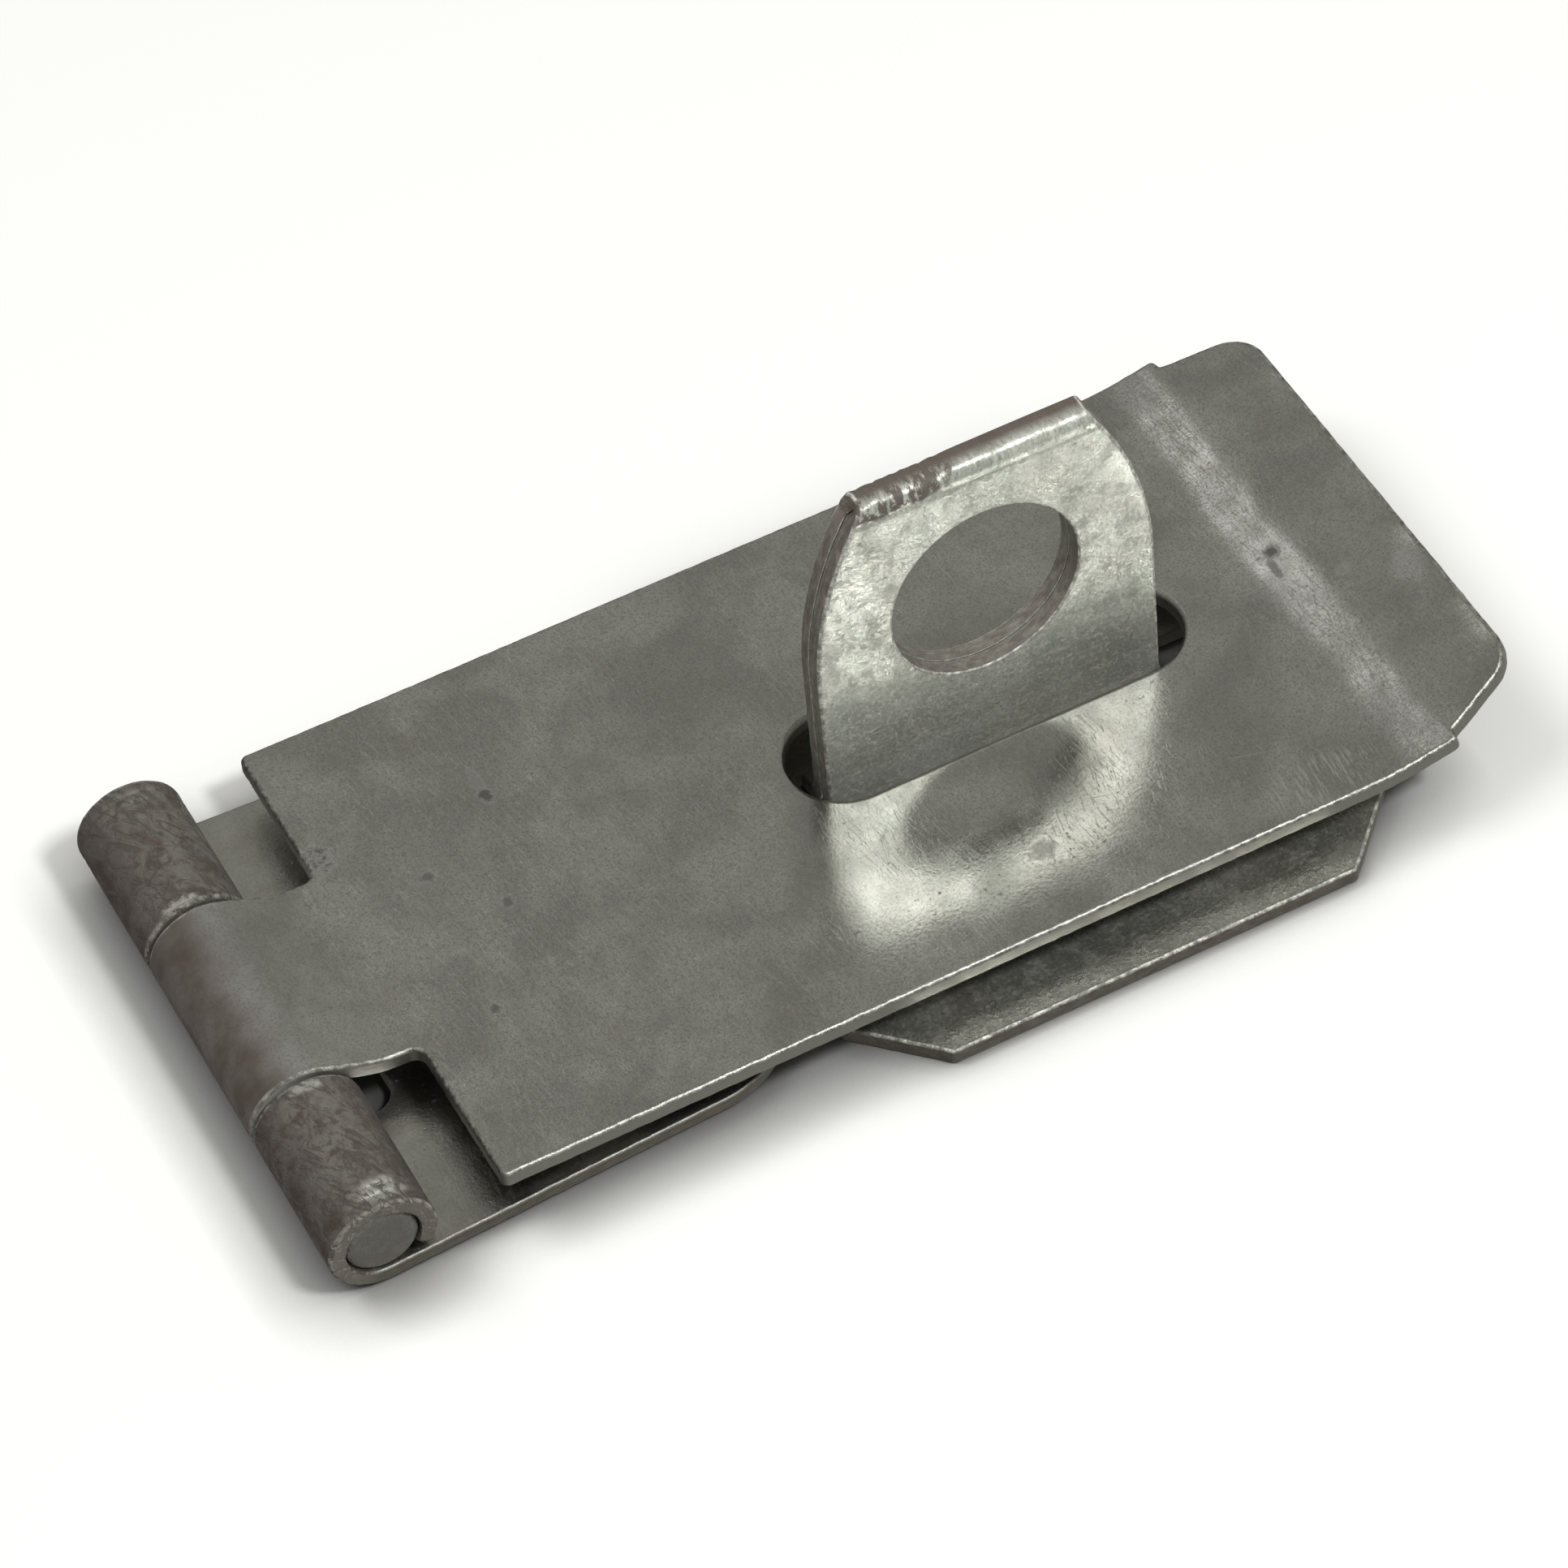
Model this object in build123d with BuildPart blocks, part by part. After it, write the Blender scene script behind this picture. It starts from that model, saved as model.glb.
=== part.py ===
from build123d import *
from math import asin, cos, degrees, radians, sin, tan
import os

os.makedirs("parts", exist_ok=True)

# A pressed-steel hasp and staple: a hinged strap, the leaf it swings from, the
# hinge pin, and the staple whose eye stands through the strap's slot.
# Millimetres. The origin is the centre of the leaf's screw holes, on the
# mounting plane. +X runs from the hinge to the strap's tip, and +Z points away
# from the door. The strap is closed.

# ---------------------------------------------------------------- dimensions

sheet = 1.0

# hinge barrel
hinge_x = -16.0
pin_radius = 2.15
bore_radius = 2.2
knuckle_radius = bore_radius + sheet
axis_z = knuckle_radius
tongue_half_width = 6.8
split_gap = 0.2

# hasp strap
strap_half_width = 17.0
strap_top_z = 4.5
shoulder_x = hinge_x + 7.0
ramp_x = hinge_x + 62.3
notch_x = hinge_x + 66.6
tip_x = hinge_x + 71.8
ramp_angle = 11.6
lip_angle = 20.7
lip_half_width = 16.3
tip_half_width = 14.6
tip_corner_radius = 2.6
notch_radius = 0.35
shoulder_radius = 0.4
tongue_root_radius = 0.7
strap_bend_radius = 6.0
neck_angle = 25.0
strap_curl_angle = 300.0

# slot in the strap
slot_x = hinge_x + 45.7
slot_length = 24.8
slot_width = 6.7

# base leaf
leaf_end_x = hinge_x + 27.4
leaf_half_width = 16.9
leaf_end_half_width = 15.6
leaf_corner_radius = 7.0
leaf_curl_angle = 307.0
window_end_x = hinge_x + 5.3
window_corner_radius = 1.5

# hinge pin
pin_half_length = leaf_half_width - 0.15
pin_chamfer = 0.25

# staple
staple_x = hinge_x + 45.8
fold_gap = 0.1
bend_radius = 1.0
eye_half_width = 10.7
eye_straight_z = 11.0
eye_side_radius = 22.0
eye_top_z = 23.3
eye_corner_radius = 0.6
eye_hole_radius = 5.85
eye_hole_z = 13.4
flange_half_length = 17.4
flange_half_width = 19.3
flange_chamfer = 4.6
flange_slit = 2.4
relief = 0.4

# screw holes, countersunk for 4 mm screws
screw_radius = 2.25
countersink_radius = 3.1
leaf_screw_spacing = 18.0
staple_screw_spacing_x = 20.0
staple_screw_spacing_y = 23.0


def corners_at(sketch, x, y):
    """The corners of a sketch at a given x, on both sides of its middle line."""
    return sketch.vertices().filter_by(lambda v: abs(v.X - x) < 0.01 and abs(abs(v.Y) - y) < 0.01)


# ---------------------------------------------------------------- hasp strap

# The sheets are drawn along their middle line, as a bent strip is laid out.
# The strap's neck leaves the curl tangentially and comes down to the flat.
# The plan outlines are cut right through, from above_all, and back past the
# barrel, to behind_x.
middle_radius = bore_radius + sheet / 2
strap_middle_z = strap_top_z - sheet / 2
neck_start_x = hinge_x + middle_radius * sin(radians(neck_angle))
neck_start_z = axis_z + middle_radius * cos(radians(neck_angle))
neck_end_x = neck_start_x + (neck_start_z - strap_middle_z) / tan(radians(neck_angle))
notch_z = strap_middle_z + (notch_x - ramp_x) * tan(radians(ramp_angle))
tip_z = notch_z + (tip_x + sheet - notch_x) * tan(radians(lip_angle))
behind_x = hinge_x - 2 * knuckle_radius
above_all = 3 * knuckle_radius

with BuildPart() as hasp_strap:
    # the sheet seen edge on: the curl round the pin, neck, flat, ramp and lip
    with BuildSketch(Plane.XZ):
        with BuildLine():
            CenterArc((hinge_x, axis_z), middle_radius, 90 - neck_angle, strap_curl_angle)
            FilletPolyline(
                (neck_start_x, neck_start_z),
                (neck_end_x, strap_middle_z),
                (ramp_x, strap_middle_z),
                (notch_x, notch_z),
                (tip_x + sheet, tip_z),
                radius=strap_bend_radius,
            )
        trace(line_width=sheet)
    extrude(amount=strap_half_width, both=True)

    # its outline in plan: tongue, shoulders, notches and the tapered lip
    with BuildSketch() as strap_plan:
        with BuildLine():
            Polyline(
                (behind_x, 0),
                (behind_x, tongue_half_width),
                (shoulder_x, tongue_half_width),
                (shoulder_x, strap_half_width),
                (notch_x, strap_half_width),
                (notch_x, lip_half_width),
                (tip_x, tip_half_width),
                (tip_x, 0),
            )
            mirror(about=Plane.XZ)
        make_face()
        fillet(corners_at(strap_plan, shoulder_x, tongue_half_width), radius=tongue_root_radius)
        fillet(corners_at(strap_plan, shoulder_x, strap_half_width), radius=shoulder_radius)
        fillet(corners_at(strap_plan, notch_x, strap_half_width), radius=notch_radius)
        fillet(corners_at(strap_plan, notch_x, lip_half_width), radius=notch_radius)
        fillet(corners_at(strap_plan, tip_x, tip_half_width), radius=tip_corner_radius)
    extrude(amount=above_all, both=True, mode=Mode.INTERSECT)

    # the slot that drops over the staple's eye
    with BuildSketch(Plane.XY.offset(strap_top_z)):
        with Locations((slot_x, 0)):
            SlotOverall(slot_length, slot_width)
    extrude(amount=2 * sheet, both=True, mode=Mode.SUBTRACT)

hasp_strap.part.label = "hasp_strap"
export_step(hasp_strap.part, "parts/hasp_strap.step")


# ---------------------------------------------------------------- base leaf

window_half_width = tongue_half_width + split_gap

with BuildPart() as base_leaf:
    # the sheet seen edge on: the flat, and the curl that comes back down on it
    with BuildSketch(Plane.XZ):
        with BuildLine():
            Line((leaf_end_x, sheet / 2), (hinge_x, sheet / 2))
            CenterArc((hinge_x, axis_z), middle_radius, 270, -leaf_curl_angle)
        trace(line_width=sheet)
    extrude(amount=leaf_half_width, both=True)

    # its outline in plan, narrowing to two well-rounded corners
    with BuildSketch() as leaf_plan:
        with BuildLine():
            Polyline(
                (behind_x, 0),
                (behind_x, leaf_half_width),
                (hinge_x, leaf_half_width),
                (leaf_end_x, leaf_end_half_width),
                (leaf_end_x, 0),
            )
            mirror(about=Plane.XZ)
        make_face()
        fillet(corners_at(leaf_plan, leaf_end_x, leaf_end_half_width), radius=leaf_corner_radius)
    extrude(amount=above_all, both=True, mode=Mode.INTERSECT)

    # the window that the strap's knuckle turns in
    with BuildSketch() as window:
        with BuildLine():
            Polyline(
                (behind_x, 0),
                (behind_x, window_half_width),
                (window_end_x, window_half_width),
                (window_end_x, 0),
            )
            mirror(about=Plane.XZ)
        make_face()
        fillet(corners_at(window, window_end_x, window_half_width), radius=window_corner_radius)
    extrude(amount=above_all, both=True, mode=Mode.SUBTRACT)

    with Locations(Plane.XY.offset(sheet)):
        with GridLocations(0, leaf_screw_spacing, 1, 2):
            CounterSinkHole(screw_radius, countersink_radius)

base_leaf.part.label = "base_leaf"
export_step(base_leaf.part, "parts/base_leaf.step")


# ---------------------------------------------------------------- hinge pin

with BuildPart() as hinge_pin:
    with BuildSketch(Plane.XZ):
        with Locations((hinge_x, axis_z)):
            Circle(pin_radius)
    extrude(amount=pin_half_length, both=True)
    chamfer(hinge_pin.edges().filter_by(GeomType.CIRCLE), length=pin_chamfer)

hinge_pin.part.label = "hinge_pin"
export_step(hinge_pin.part, "parts/hinge_pin.step")


# ---------------------------------------------------------------- staple

fold_radius = (sheet + fold_gap) / 2
root_radius = bend_radius + sheet / 2
root_reach = fold_radius + root_radius
strip_half_depth = root_reach + relief
fold_z = eye_top_z - sheet / 2 - fold_radius
arch_angle = degrees(asin((eye_top_z - eye_straight_z) / eye_side_radius))

with BuildPart() as staple:
    # a strip folded double: flange root, front of the eye, fold, back of the eye, flange root
    with BuildSketch(Plane.YZ.offset(staple_x)):
        with BuildLine():
            near_root = Line((-strip_half_depth, sheet / 2), (-root_reach, sheet / 2))
            near_bend = JernArc(near_root @ 1, near_root % 1, root_radius, 90)
            front = Line(near_bend @ 1, (-fold_radius, fold_z))
            fold = JernArc(front @ 1, front % 1, fold_radius, -180)
            back = Line(fold @ 1, (fold_radius, (near_bend @ 1).Y))
            far_bend = JernArc(back @ 1, back % 1, root_radius, 90)
            Line(far_bend @ 1, (strip_half_depth, sheet / 2))
        trace(line_width=sheet)
    extrude(amount=eye_half_width, both=True)

    # the eye's outline: straight sides that arch in to a flat top
    with BuildSketch(Plane.XZ) as eye_outline:
        with BuildLine():
            base = Line((staple_x, 0), (staple_x + eye_half_width, 0))
            side = Line(base @ 1, (staple_x + eye_half_width, eye_straight_z))
            arch = JernArc(side @ 1, side % 1, eye_side_radius, arch_angle)
            Line(arch @ 1, (staple_x, eye_top_z))
            mirror(about=Plane.YZ.offset(staple_x))
        make_face()
        fillet(eye_outline.vertices().group_by(Axis.Y)[-1], radius=eye_corner_radius)
    extrude(amount=strip_half_depth, both=True, mode=Mode.INTERSECT)

    # the flanges: a chamfered plate, slit along the middle and open round the eye's bends
    with BuildSketch() as flanges:
        with Locations((staple_x, 0)):
            Rectangle(2 * flange_half_length, 2 * flange_half_width)
            chamfer(flanges.vertices(), length=flange_chamfer)
            Rectangle(2 * flange_half_length, flange_slit, mode=Mode.SUBTRACT)
            Rectangle(2 * (eye_half_width + relief), 2 * strip_half_depth, mode=Mode.SUBTRACT)
    extrude(amount=sheet)

    # the padlock's hole through both layers
    with Locations(Plane((staple_x, 0, eye_hole_z), x_dir=(1, 0, 0), z_dir=(0, -1, 0))):
        Hole(eye_hole_radius)

    with Locations(Plane.XY.offset(sheet)):
        with Locations((staple_x, 0)):
            with GridLocations(staple_screw_spacing_x, staple_screw_spacing_y, 2, 2):
                CounterSinkHole(screw_radius, countersink_radius)

staple.part.label = "staple"
export_step(staple.part, "parts/staple.step")
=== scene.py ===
import math

import bmesh
import bpy
import numpy as np
from mathutils import Matrix, Vector, noise


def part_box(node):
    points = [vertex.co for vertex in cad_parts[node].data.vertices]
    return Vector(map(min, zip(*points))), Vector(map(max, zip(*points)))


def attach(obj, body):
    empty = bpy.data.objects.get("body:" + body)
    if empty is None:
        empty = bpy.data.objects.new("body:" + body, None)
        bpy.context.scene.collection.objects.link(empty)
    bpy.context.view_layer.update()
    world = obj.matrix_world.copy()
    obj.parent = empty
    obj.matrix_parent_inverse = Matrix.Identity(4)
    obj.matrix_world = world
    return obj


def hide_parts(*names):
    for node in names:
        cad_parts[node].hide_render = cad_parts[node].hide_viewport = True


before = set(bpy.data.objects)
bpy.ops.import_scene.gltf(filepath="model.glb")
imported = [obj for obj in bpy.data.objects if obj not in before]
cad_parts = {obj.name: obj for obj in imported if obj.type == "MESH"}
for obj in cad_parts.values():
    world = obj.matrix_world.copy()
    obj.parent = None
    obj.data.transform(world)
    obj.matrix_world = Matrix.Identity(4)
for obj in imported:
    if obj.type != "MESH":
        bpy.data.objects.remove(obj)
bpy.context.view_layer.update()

# Lengths are in millimetres and in the frame's own axes, up to the floor, lights and camera,
# which are placed in metres. A finished mesh is in metres too.
MM = 0.001


def box_mm(node):
    """A CAD node's lowest and highest corners, in millimetres."""
    low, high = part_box(node)
    return low / MM, high / MM


_, strap_high = box_mm("hasp_strap")
_, leaf_high = box_mm("base_leaf")
pin_low, pin_high = box_mm("hinge_pin")
staple_low, staple_high = box_mm("staple")

# ------------------------------------------------------------------ the sheets' sizes
sheet = 1.0
half_sheet = sheet / 2
pin_radius = (pin_high.z - pin_low.z) / 2
hinge_x = (pin_low.x + pin_high.x) / 2
axis_z = (pin_low.z + pin_high.z) / 2
curl_radius = axis_z - half_sheet

neck_bend = 6.0
ramp_bend = 20.0
lip_bend = 14.0
ramp_angle = 11.6
lip_angle = 20.7
neck_angle = 25.0
strap_curl = 300.0
droop_room = 0.055
tongue_half_width = 6.8
strap_half_width = strap_high.y
strap_top_z = 4.5
shoulder_x = hinge_x + 7.0
ramp_x = hinge_x + 62.3
notch_x = hinge_x + 66.6
tip_x = strap_high.x - half_sheet * math.sin(math.radians(lip_angle)) - droop_room
lip_half_width = 16.3
tip_half_width = 14.6
tip_corner_radius = 2.6
notch_slant = 0.1
notch_corner_radius = 0.42
notch_root_radius = 0.2
shoulder_radius = 0.45
tongue_root_radius = 0.7
slot_x = hinge_x + 45.7
slot_half_length = 12.4
slot_half_width = 3.35

leaf_end_x = leaf_high.x
leaf_half_width = leaf_high.y
leaf_end_half_width = 15.6
leaf_corner_radius = 7.0
curl_corner_radius = 0.6
window_corner_radius = 1.5
leaf_curl = 307.0
window_x = hinge_x + 5.3
split_gap = 0.2
window_half_width = tongue_half_width + split_gap

staple_x = (staple_low.x + staple_high.x) / 2
flange_half_length = (staple_high.x - staple_low.x) / 2
flange_half_width = staple_high.y
flange_chamfer = 4.6
half_slit = 1.2
flange_corner_radius = 0.5
slit_corner_radius = 0.45
eye_half_width = 10.7
eye_straight_z = 11.0
eye_side_radius = 22.0
eye_top_z = staple_high.z
eye_hole_radius = 5.85
eye_hole_z = 13.4
fold_radius = 0.55
fold_squareness = 2.7
lean_back = 0.05
root_radius = 1.5
relief = 0.4
relief_mouth_radius = 0.4
relief_corner_radius = 0.1

screw_radius = 2.25
countersink_radius = 3.1
countersink_depth = 0.92
leaf_screw_y = 9.0
staple_screw_x = 10.0
staple_screw_y = 11.5


# ------------------------------------------------------------------ bending a flat blank
class Path:
    """A sheet's middle line: straight runs of (length, 0) and bends of (radius, turn in degrees).
    Left turns are positive."""

    def __init__(self, start, heading, runs):
        self.runs = []
        at, angle, s = complex(*start), math.radians(heading), 0.0
        for size, turn in runs:
            length = size * math.radians(abs(turn)) if turn else size
            side = math.copysign(1, turn) if turn else 0
            self.runs.append((s, s + length, at, angle, size, side))
            at, angle = self.step(self.runs[-1], s + length)
            s += length
        self.length = s

    @staticmethod
    def step(run, s):
        """The place and heading at distance s, for one run."""
        first, _, at, angle, size, side = run
        ahead = complex(math.cos(angle), math.sin(angle))
        if not side:
            return at + ahead * (s - first), angle
        centre = at + ahead * 1j * side * size
        swung = side * (s - first) / size
        return centre + (at - centre) * complex(math.cos(swung), math.sin(swung)), angle + swung

    def at(self, s):
        """The place on the middle line and the heading there, as complex numbers."""
        run = next((r for r in self.runs if s <= r[1]), self.runs[-1])
        place, angle = self.step(run, s)
        return place, complex(math.cos(angle), math.sin(angle))


def filleted(corners, radii):
    """Runs along a line of corners, each inner corner rounded to its own radius."""
    points = [complex(*c) for c in corners]
    headings = [math.atan2((b - a).imag, (b - a).real) for a, b in zip(points, points[1:])]
    turns = [b - a for a, b in zip(headings, headings[1:])]
    cuts = [0.0] + [r * math.tan(abs(t) / 2) for r, t in zip(radii, turns)] + [0.0]
    runs = []
    for i, (a, b) in enumerate(zip(points, points[1:])):
        runs.append((abs(b - a) - cuts[i] - cuts[i + 1], 0))
        if i < len(turns):
            runs.append((radii[i], math.degrees(turns[i])))
    return runs


# ------------------------------------------------------------------ outlines in the flat
def arc(centre, radius, first, last, step=0.3):
    """Points along an arc between two angles in degrees."""
    x, y = centre
    count = max(3, int(abs(math.radians(last - first)) * radius / step))
    angles = [math.radians(a) for a in np.linspace(first, last, count + 1)]
    return [(x + radius * math.cos(a), y + radius * math.sin(a)) for a in angles]


def rounded(corners):
    """A closed outline through (x, y, radius) corners, with an arc at each that has a radius."""
    out = []
    for i, (x, y, radius) in enumerate(corners):
        here = np.array((x, y))
        before = np.array(corners[i - 1][:2]) - here
        after = np.array(corners[(i + 1) % len(corners)][:2]) - here
        before, after = before / np.linalg.norm(before), after / np.linalg.norm(after)
        if not radius:
            out.append((x, y))
            continue
        half = math.acos(np.clip(before @ after, -1, 1)) / 2
        middle = (before + after) / np.linalg.norm(before + after)
        centre = here + middle * radius / math.sin(half)
        starts = here + before * radius / math.tan(half)
        ends = here + after * radius / math.tan(half)
        first = math.degrees(math.atan2(*(starts - centre)[::-1]))
        sweep = math.degrees(math.atan2(*(ends - centre)[::-1])) - first
        sweep = (sweep + 180) % 360 - 180
        out += arc(centre, radius, first, first + sweep, step=min(0.3, radius / 5))
    return out


def spaced(outline, pitch=0.4):
    """The same closed outline with points no further apart than the pitch."""
    out = []
    for a, b in zip(outline, outline[1:] + outline[:1]):
        a, b = np.array(a), np.array(b)
        count = max(1, math.ceil(np.linalg.norm(b - a) / pitch))
        out += [tuple(a + (b - a) * k / count) for k in range(count)]
    return [p for p, q in zip(out, out[1:] + out[:1]) if math.dist(p, q) > 0.01]


def mirrored(half):
    """A closed outline from its half with positive y, given anticlockwise from right to left."""
    return half + [(x, -y, *r) for x, y, *r in reversed(half) if abs(y) > 1e-6]


# ------------------------------------------------------------------ sheet edges
# An edge is inset by its roll and its raggedness together, and that is less than the radius of any
# outer corner, so the rings of an edge never cross.
def sheared(over, under=0.08, wear=1.0, steps=5):
    """A punched edge from the top face to the underside: rolled over by one radius, then the cut
    wall, then a small one. Each ring is (inset, height, outward, up, rim, wall)."""
    roll_flatness = 0.8
    rim_at_wall = 0.35
    rings = []
    for k in range(steps + 1):
        a = math.pi / 2 * k / steps
        out, up = math.sin(a), math.cos(a)
        rim = math.sin(2 * a) ** 0.5 if 0 < k < steps else rim_at_wall * (k > 0)
        height = half_sheet - over * roll_flatness * (1 - up)
        rings.append((over * (1 - out), height, out, up, wear * rim, k / steps))
    for k in range(3):
        a = math.pi / 2 * k / 2
        out, down = math.cos(a), math.sin(a)
        rim = 0.8 * (k == 1)
        height = under * (1 - down) - half_sheet
        rings.append((under * (1 - out), height, out, -down, wear * rim, 1 - k / 2))
    return rings


def countersunk(side):
    """A screw hole's edge, drawn at the wide rim: a cone down to the hole. A side of 1 opens it at
    the top face, and -1 at the underside. The rings are as in sheared()."""
    slope = countersink_radius - screw_radius
    cone = math.hypot(slope, countersink_depth)
    out, up = countersink_depth / cone, slope / cone
    rings = [
        (0.06, half_sheet, 0.0, 1.0, 0.0, 0.0),
        (-0.02, half_sheet - 0.05, out, up, 0.7, 0.3),
        (-slope, half_sheet - countersink_depth, out, up, 0.2, 0.8),
        (-slope, -half_sheet + 0.04, 1.0, 0.0, 0.1, 1.0),
        (-slope + 0.05, -half_sheet, 0.0, -1.0, 0.0, 0.0),
    ]
    if side < 0:
        rings = [(inset, -height, out, -up, rim, wall)
                 for inset, height, out, up, rim, wall in reversed(rings)]
    return rings


def ripple(s, w, per_s, per_w, seed):
    """Smooth noise over the blank, from -1 to 1. It changes faster the larger per_s and per_w are."""
    return noise.noise(Vector((s * per_s, w * per_w, seed)))


def nibbled(x, y, ragged):
    """How far in a ragged edge is nibbled at one point: long dips and a few sharper bites."""
    dips = 0.5 + 0.5 * ripple(x, y, 1.7, 1.7, 3.1)
    bites = max(0.0, ripple(x, y, 5, 5, 9.2))
    return ragged * dips + 0.6 * ragged * bites


def blank(loops, lines_s, lines_w):
    """A flat plate cut into cells. loops is [(outline, edge rings, raggedness)]: the outside,
    anticlockwise, then the holes, clockwise."""
    bm = bmesh.new()
    flat_normal = bm.verts.layers.float_vector.new("flat_normal")
    rim_layer = bm.verts.layers.float.new("rim")
    wall_layer = bm.verts.layers.float.new("wall")
    tops, bottoms = [], []
    for outline, profile, ragged in loops:
        points = np.array(outline)
        along = np.roll(points, -1, 0) - np.roll(points, 1, 0)
        along /= np.linalg.norm(along, axis=1)[:, None]
        inward = np.stack([-along[:, 1], along[:, 0]], 1)
        nibbles = [nibbled(x, y, ragged) for x, y in points]
        rings = []
        for inset, height, out, up, rim, wall in profile:
            ring = []
            for (x, y), (nx, ny), nibble in zip(points, inward, nibbles):
                depth = inset + nibble
                vert = bm.verts.new((x + nx * depth, y + ny * depth, height))
                vert[flat_normal] = (-nx * out, -ny * out, up)
                vert[rim_layer], vert[wall_layer] = rim, wall
                ring.append(vert)
            rings.append(ring)
        for a, b in zip(rings, rings[1:]):
            for i in range(len(a)):
                bm.faces.new((a[i - 1], b[i - 1], b[i], a[i]))
        for ring, edges in ((rings[0], tops), (rings[-1], bottoms)):
            edges += [bm.edges.get((ring[i - 1], ring[i])) for i in range(len(ring))]
    for edges, up in ((tops, 1), (bottoms, -1)):
        bmesh.ops.triangle_fill(
            bm, use_beauty=True, use_dissolve=False, edges=edges, normal=(0, 0, up))
    for axis, lines in ((0, lines_s), (1, lines_w)):
        across = Vector((1, 0, 0)) if axis == 0 else Vector((0, 1, 0))
        for line in lines:
            geometry = bm.verts[:] + bm.edges[:] + bm.faces[:]
            bmesh.ops.bisect_plane(
                bm, geom=geometry, dist=1e-4, plane_co=across * line, plane_no=across)
    bmesh.ops.recalc_face_normals(bm, faces=bm.faces[:])
    # the fill's slanting edges inside the flat faces aren't needed any more
    loose = []
    for edge in bm.edges:
        a, b = edge.verts
        if abs(a.co.x - b.co.x) > 1e-3 and abs(a.co.y - b.co.y) > 1e-3:
            faces = edge.link_faces
            if len(faces) == 2 and all(abs(f.normal.z) > 0.99999 for f in faces):
                loose.append(edge)
    bmesh.ops.dissolve_edges(bm, edges=loose, use_verts=True)
    return bm


def bent(name, bm, path, carry, wave=None):
    """Wraps a flat blank along its path. carry(path, s, w) gives (point, ahead, side, up) in the
    frame for a point of the blank's middle, and wave(s, w, t) moves the sheet along its own
    normal. The normals allow for the wave's slope, which is taken over one nudge."""
    flat_normal = bm.verts.layers.float_vector["flat_normal"]
    flat = bm.verts.layers.float_vector.new("flat")
    normals = []
    nudge = 0.05
    for vert in bm.verts:
        s, w, t = vert.co
        vert[flat] = (s, w, t)
        ns, nw, nt = vert[flat_normal]
        origin, ahead, side, up = carry(path, s, w)
        if wave:
            here = wave(s, w, t)
            origin_on, _, _, up_on = carry(path, s + nudge, w)
            step = max((origin_on + up_on * t - origin - up * t).length, nudge / 10)
            ns -= nt * (wave(s + nudge, w, t) - here) / step
            nw -= nt * (wave(s, w + nudge, t) - here) / nudge
            t += here
        vert.co = (origin + up * t) * MM
        normals.append((ahead * ns + side * nw + up * nt).normalized())
    bm.verts.layers.float_vector.remove(flat_normal)
    if bm.calc_volume(signed=True) < 0:
        bmesh.ops.reverse_faces(bm, faces=bm.faces[:])
    mesh = bpy.data.meshes.new(name)
    bm.to_mesh(mesh)
    bm.free()
    mesh.shade_smooth()
    mesh.normals_split_custom_set_from_vertices(normals)
    piece = bpy.data.objects.new(name, mesh)
    bpy.context.scene.collection.objects.link(piece)
    return piece


def along_x(path, s, w):
    """The strap and the leaf: the path lies in the XZ plane, and w is y."""
    place, heading = path.at(s)
    up = heading * 1j
    return (Vector((place.real, w, place.imag)), Vector((heading.real, 0, heading.imag)),
            Vector((0, 1, 0)), Vector((up.real, 0, up.imag)))


# ------------------------------------------------------------------ hasp strap
neck_start = (hinge_x + curl_radius * math.sin(math.radians(neck_angle)),
              axis_z + curl_radius * math.cos(math.radians(neck_angle)))
flat_z = strap_top_z - half_sheet
neck_end_x = neck_start[0] + (neck_start[1] - flat_z) / math.tan(math.radians(neck_angle))
notch_z = flat_z + (notch_x - ramp_x) * math.tan(math.radians(ramp_angle))
tip_z = notch_z + (tip_x - notch_x) * math.tan(math.radians(lip_angle))
strap_corners = [
    neck_start, (neck_end_x, flat_z), (ramp_x, flat_z), (notch_x, notch_z), (tip_x, tip_z)]
curl_end = math.radians(90 - neck_angle + strap_curl)
strap_path = Path(
    (hinge_x + curl_radius * math.cos(curl_end), axis_z + curl_radius * math.sin(curl_end)),
    math.degrees(curl_end) - 90,
    [(curl_radius, -strap_curl)] + filleted(strap_corners, (neck_bend, ramp_bend, lip_bend)),
)


def distance_to_x(path, x, step=0.01):
    """How far along a path the frame's x is reached, after its first run, which is the curl."""
    curl_length = path.runs[0][1]
    places = np.arange(curl_length, path.length + 2 * step, step)
    return next(s for s in places if path.at(s)[0].real >= x - step)


strap_s = {name: distance_to_x(strap_path, x) for name, x in (
    ("neck", neck_end_x), ("shoulder", shoulder_x), ("slot", slot_x),
    ("ramp", ramp_x), ("notch", notch_x), ("tip", tip_x))}


def strap_wave(s, w, t):
    """The strap isn't quite flat: long shallow waves, a rolling lip, and a tip edge that droops.
    The waves grow from nothing at the neck, and lie below the sheet's true place."""
    if s < strap_s["neck"]:
        return 0.0
    settle = 6.0
    droop_length = 2.4
    sunk = 0.05
    grow = min(1.0, (s - strap_s["neck"]) / settle)
    slow = 0.05 * ripple(s, w, 0.07, 0.09, 1.3)
    quick = 0.010 * ripple(s, w, 0.22, 0.25, 7.7)
    lip = min(1.0, max(0.0, (s - strap_s["ramp"] + 2) / 4))
    rolled = 0.022 * ripple(s, w, 0.5, 0.32, 4.4) * lip
    to_tip = max(0.0, s - strap_s["tip"] + droop_length)
    droop = 0.035 * to_tip ** 2 * (0.7 + 0.9 * noise.noise(Vector((3.3, w * 0.3, 6.1))))
    return grow * (slow + quick + rolled - sunk) - max(0.0, droop)


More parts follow.
